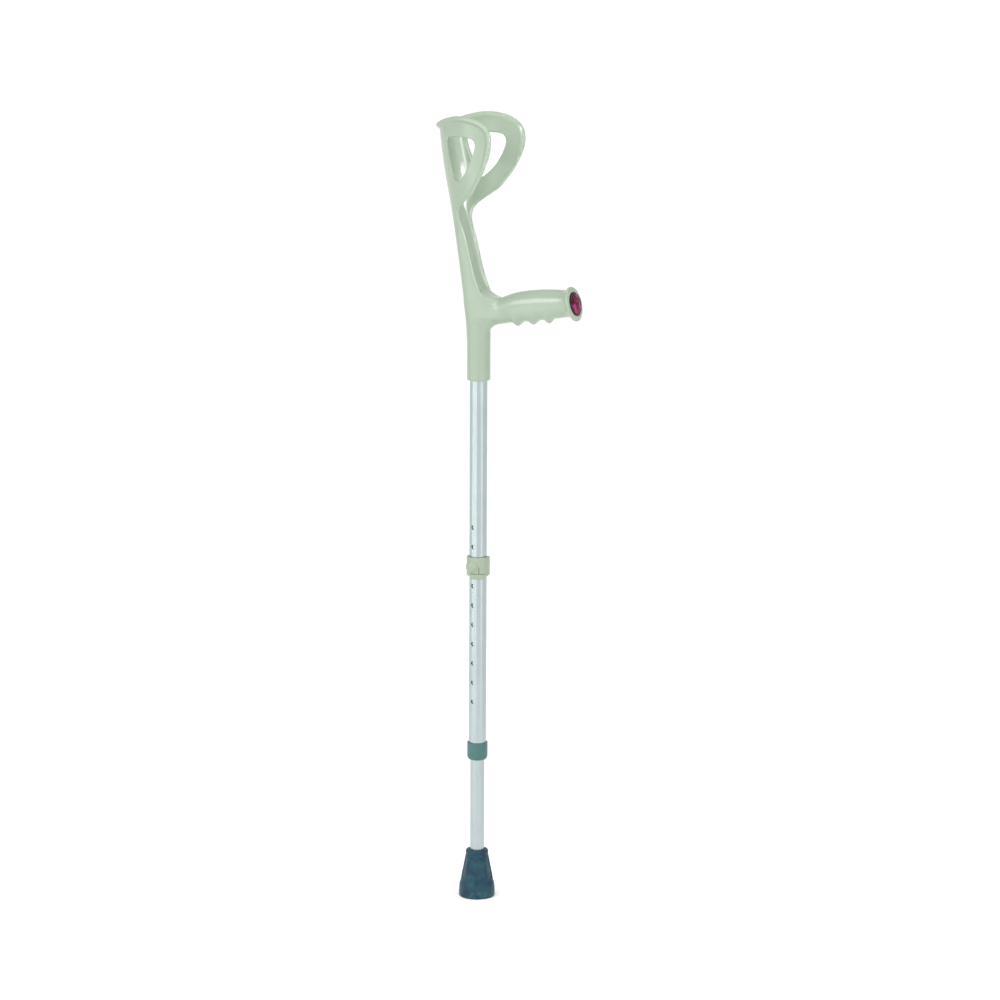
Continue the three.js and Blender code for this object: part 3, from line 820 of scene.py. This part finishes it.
def steel():
    """Zinc-plated steel: a mottled satin grey."""
    mat, tree, bsdf = material("zinc_steel")
    v = coords(tree)
    tree.links.new(
        tinted(tree, scaled(tree, noise(tree, v, 260, 4), 0, 1), (0.42, 0.44, 0.46), (0.55, 0.57, 0.58)),
        bsdf.inputs["Base Color"],
    )
    bsdf.inputs["Metallic"].default_value = 1
    tree.links.new(scaled(tree, noise(tree, v, 700), 0.3, 0.45), bsdf.inputs["Roughness"])
    bumped(tree, bsdf, noise(tree, v, 1500), 0.1, 0.03)
    return mat


def rubber():
    """Blue-grey moulded rubber, a little scuffed and dusty near the floor."""
    mat, tree, bsdf = material("ferrule_rubber")
    c = tree.nodes.new("ShaderNodeTexCoord")
    v = c.outputs["Object"]
    clouds = scaled(tree, noise(tree, v, 75, 5, 0.6), 0, 1)
    base = tinted(tree, clouds, (0.004, 0.02, 0.058), (0.016, 0.074, 0.086))
    split = tree.nodes.new("ShaderNodeSeparateXYZ")
    tree.links.new(v, split.inputs[0])
    low = scaled(tree, split.outputs["Z"], 1, 0, 0.0, 0.016)
    scuff = scaled(tree, noise(tree, v, 240, 6, 0.7), 0, 0.5, 0.5, 0.7)
    amount = node(tree, "ShaderNodeMath", operation="MULTIPLY")
    tree.links.new(low, amount.inputs[0])
    tree.links.new(scuff, amount.inputs[1])
    dusty = node(tree, "ShaderNodeMix", data_type="RGBA")
    tree.links.new(amount.outputs[0], dusty.inputs[0])
    tree.links.new(base, dusty.inputs[6])
    dusty.inputs[7].default_value = (0.13, 0.18, 0.18, 1)
    tree.links.new(dusty.outputs[2], bsdf.inputs["Base Color"])
    tree.links.new(scaled(tree, noise(tree, v, 300, 4), 0.34, 0.52), bsdf.inputs["Roughness"])
    bumped(tree, bsdf, noise(tree, v, 700, 3, 0.6), 0.2, 0.06)
    bsdf.inputs["Specular IOR Level"].default_value = 0.22
    return mat


# Name, darker and lighter shade, roughness, size and strength of the grain, and clear coat.
PLASTICS = (
    ("sage_plastic", (0.257, 0.324, 0.246), (0.272, 0.34, 0.26), 0.21, 1.6, 0.01, 0.3),
    ("clip_plastic", (0.25, 0.308, 0.226), (0.276, 0.336, 0.252), 0.34, 0.9, 0.04, 0),
    ("collar_plastic", (0.036, 0.112, 0.11), (0.048, 0.135, 0.13), 0.36, 0.9, 0.06, 0),
    ("bush_plastic", (0.5, 0.5, 0.47), (0.56, 0.56, 0.53), 0.45, 0.6, 0.1, 0),
)
MATERIALS = {look[0]: plastic(*look) for look in PLASTICS}
MATERIALS["tube_aluminium"] = aluminium("tube_aluminium", (0.402, 0.462, 0.468), (0.432, 0.493, 0.5), 0.27)
MATERIALS["ferrule_rubber"] = rubber()
MATERIALS["reflector"] = reflector_material()
MATERIALS["zinc_steel"] = steel()

# ------------------------------------------------------------------ assembly
# Piece, how it is made, the body it rides on, the CAD node it replaces, and its material.
PIECES = [
    ("handle_body", handle, "upper", "handle_moulding", "sage_plastic"),
    ("reflector_body", lens, "upper", "reflector_lens", "reflector"),
    ("outer_tube_body", outer_tube, "upper", "outer_tube", "tube_aluminium"),
    ("collar_body", collar, "upper", "end_collar", "collar_plastic"),
    ("inner_tube_body", inner_tube, "lower", "inner_tube", "tube_aluminium"),
    ("clip_body", clip, "clip", "height_clip", "clip_plastic"),
    ("ferrule_body", ferrule, "lower", "ferrule", "ferrule_rubber"),
]
for name, build, body, replaced, shade in PIECES:
    made = build()
    made.name = name
    made.data.materials.clear()
    made.data.materials.append(MATERIALS[shade])
    if name == "reflector_body":
        made.matrix_world = GRIP_END
        bpy.context.view_layer.update()
    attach(made, body)
    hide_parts(replaced)
# These two CAD nodes have their true shape already.
for kept, shade in (("guide_bush", "bush_plastic"), ("ferrule_washer", "zinc_steel")):
    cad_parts[kept].data.materials.clear()
    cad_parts[kept].data.materials.append(MATERIALS[shade])

# ------------------------------------------------------------------ stage, light and camera
FAR = 40000
floor = obj_from("floor", [(-FAR, -FAR, 0), (FAR, -FAR, 0), (FAR, FAR, 0), (-FAR, FAR, 0)], [(0, 1, 2, 3)])
pale, tree, bsdf = material("pale_floor")
bsdf.inputs["Base Color"].default_value = (0.96, 0.96, 0.96, 1)
bsdf.inputs["Roughness"].default_value = 1
bsdf.inputs["Specular IOR Level"].default_value = 0
floor.data.materials.append(pale)

# The camera looks across the leg at 28 degrees from the grip's side view, from a little above.
AZIMUTH, TILT, DISTANCE = math.radians(28), math.radians(11.5), 4800
FIELD_WIDTH = 1251.5645  # across the picture, at the crutch
SENSOR, ROLL = 36, math.radians(0.27)
AIM_SIDE, AIM_HEIGHT = 27.2, 514.8
right = Vector((math.cos(AZIMUTH), math.sin(AZIMUTH), 0))
back = Vector((math.sin(AZIMUTH) * math.cos(TILT), -math.cos(AZIMUTH) * math.cos(TILT), math.sin(TILT)))
up = back.cross(right)
flat = Vector((back.x, back.y, 0)).normalized()
aim = Vector((AIM_SIDE * right.x, AIM_SIDE * right.y, AIM_HEIGHT))

# A pale studio all round. Its light by bearing starts behind the crutch and goes round by the left, past
# the camera in the middle and on by the right: near the horizon in steps of 30 degrees, and at half height
# in steps of 90. Overhead it is the same all round.
LOW = [1.05, 0.9, 0.85, 0.85, 0.9, 0.85, 1.2, 1.5, 1.35, 0.55, 0.45, 0.8, 1.05]
MIDDLE = [0.75, 0.75, 1.25, 0.95, 0.75]
OVERHEAD = 1.9
world = bpy.data.worlds.new("studio")
world.use_nodes = True
sky = world.node_tree
dome = sky.nodes["Background"]
dome.inputs[0].default_value = (1, 1, 1, 1)
where = sky.nodes.new("ShaderNodeTexCoord")


def along(direction):
    """How much a line of sight from the crutch points in a direction."""
    n = node(sky, "ShaderNodeVectorMath", operation="DOT_PRODUCT")
    n.inputs[1].default_value = direction
    sky.links.new(where.outputs["Generated"], n.inputs[0])
    return n.outputs["Value"]


def maths(operation, *values):
    """One step of arithmetic on the sky's values and plain numbers."""
    n = node(sky, "ShaderNodeMath", operation=operation)
    for socket, value in zip(n.inputs, values):
        if isinstance(value, (int, float)):
            socket.default_value = value
        else:
            sky.links.new(value, socket)
    return n.outputs[0]


def by_bearing(strengths):
    """Strength of light round the horizon, as a ramp scaled to a half to stay inside its range."""
    n = sky.nodes.new("ShaderNodeValToRGB")
    stops = n.color_ramp.elements
    for k, value in enumerate(strengths):
        place = k / (len(strengths) - 1)
        stop = stops[0] if k == 0 else stops[-1] if place == 1 else stops.new(place)
        stop.position = place
        stop.color = (value / 2, value / 2, value / 2, 1)
    sky.links.new(bearing, n.inputs[0])
    return maths("MULTIPLY", n.outputs[0], 2.0)


bearing = maths("ADD", maths("DIVIDE", maths("ARCTAN2", along(right), along(flat)), 2 * math.pi), 0.5)
height = maths("ARCSINE", along(Vector((0, 0, 1))))


def climb(foot, head):
    """Rises from 0 to 1 between two heights above the horizon, in degrees."""
    n = node(sky, "ShaderNodeMapRange")
    n.inputs["From Min"].default_value = math.radians(foot)
    n.inputs["From Max"].default_value = math.radians(head)
    sky.links.new(height, n.inputs["Value"])
    return n.outputs[0]


over, high = climb(20, 42), climb(55, 75)
light = maths("MULTIPLY", maths("SUBTRACT", 1.0, over), by_bearing(LOW))
light = maths("ADD", light, maths("MULTIPLY", maths("SUBTRACT", over, high), by_bearing(MIDDLE)))
light = maths("ADD", light, maths("MULTIPLY", high, OVERHEAD))
sky.links.new(light, dome.inputs[1])
SCENE.world = world


def softbox(name, bearing, distance, height, size, power, aim_z, spread=180):
    """A rectangular lamp at a bearing in degrees from the camera's side, turned to a height of the
    crutch. Its lengths are in metres and its power in watts."""
    lamp = bpy.data.lights.new(name, "AREA")
    lamp.shape, lamp.size, lamp.size_y, lamp.energy = "RECTANGLE", size[0], size[1], power
    lamp.spread = math.radians(spread)
    obj = bpy.data.objects.new(name, lamp)
    SCENE.collection.objects.link(obj)
    t = math.radians(bearing)
    obj.location = (flat * math.cos(t) + right * math.sin(t)) * distance + Vector((0, 0, height))
    obj.rotation_euler = (obj.location - Vector((0, 0, aim_z))).to_track_quat("Z", "Y").to_euler()


# Four tall strips draw the light bands on the tubes, the key lights the grip and the cuff, the gleam runs
# down the inside of the cuff, and the fill lifts the far wing.
STRIPS = (("strip_a", -75, 2.1), ("strip_b", -53, 1.9), ("strip_c", -30, 2.2), ("strip_d", 47, 1.6))
for name, side, power in STRIPS:
    softbox(name, side, 1.3, 0.92, (0.25, 1.8), power, 0.92)
softbox("key", -59, 2.2, 1.88, (0.9, 0.9), 10, 0.78)
softbox("gleam", 24, 1.3, 1.12, (0.1, 0.96), 4, 1.12)
softbox("fill", 34, 1.2, 1.3, (0.3, 0.3), 0.15, 0.98, 24)

camera = bpy.data.cameras.new("camera")
camera.sensor_width = SENSOR
camera.lens = DISTANCE * SENSOR / FIELD_WIDTH
camera.clip_end = 200
view = bpy.data.objects.new("camera", camera)
SCENE.collection.objects.link(view)
axes = Matrix((right, up, back)).transposed() @ Matrix.Rotation(ROLL, 3, "Z")
view.matrix_world = Matrix.Translation((aim + back * DISTANCE) * MM) @ axes.to_4x4()
SCENE.camera = view
SCENE.view_settings.view_transform = "Standard"
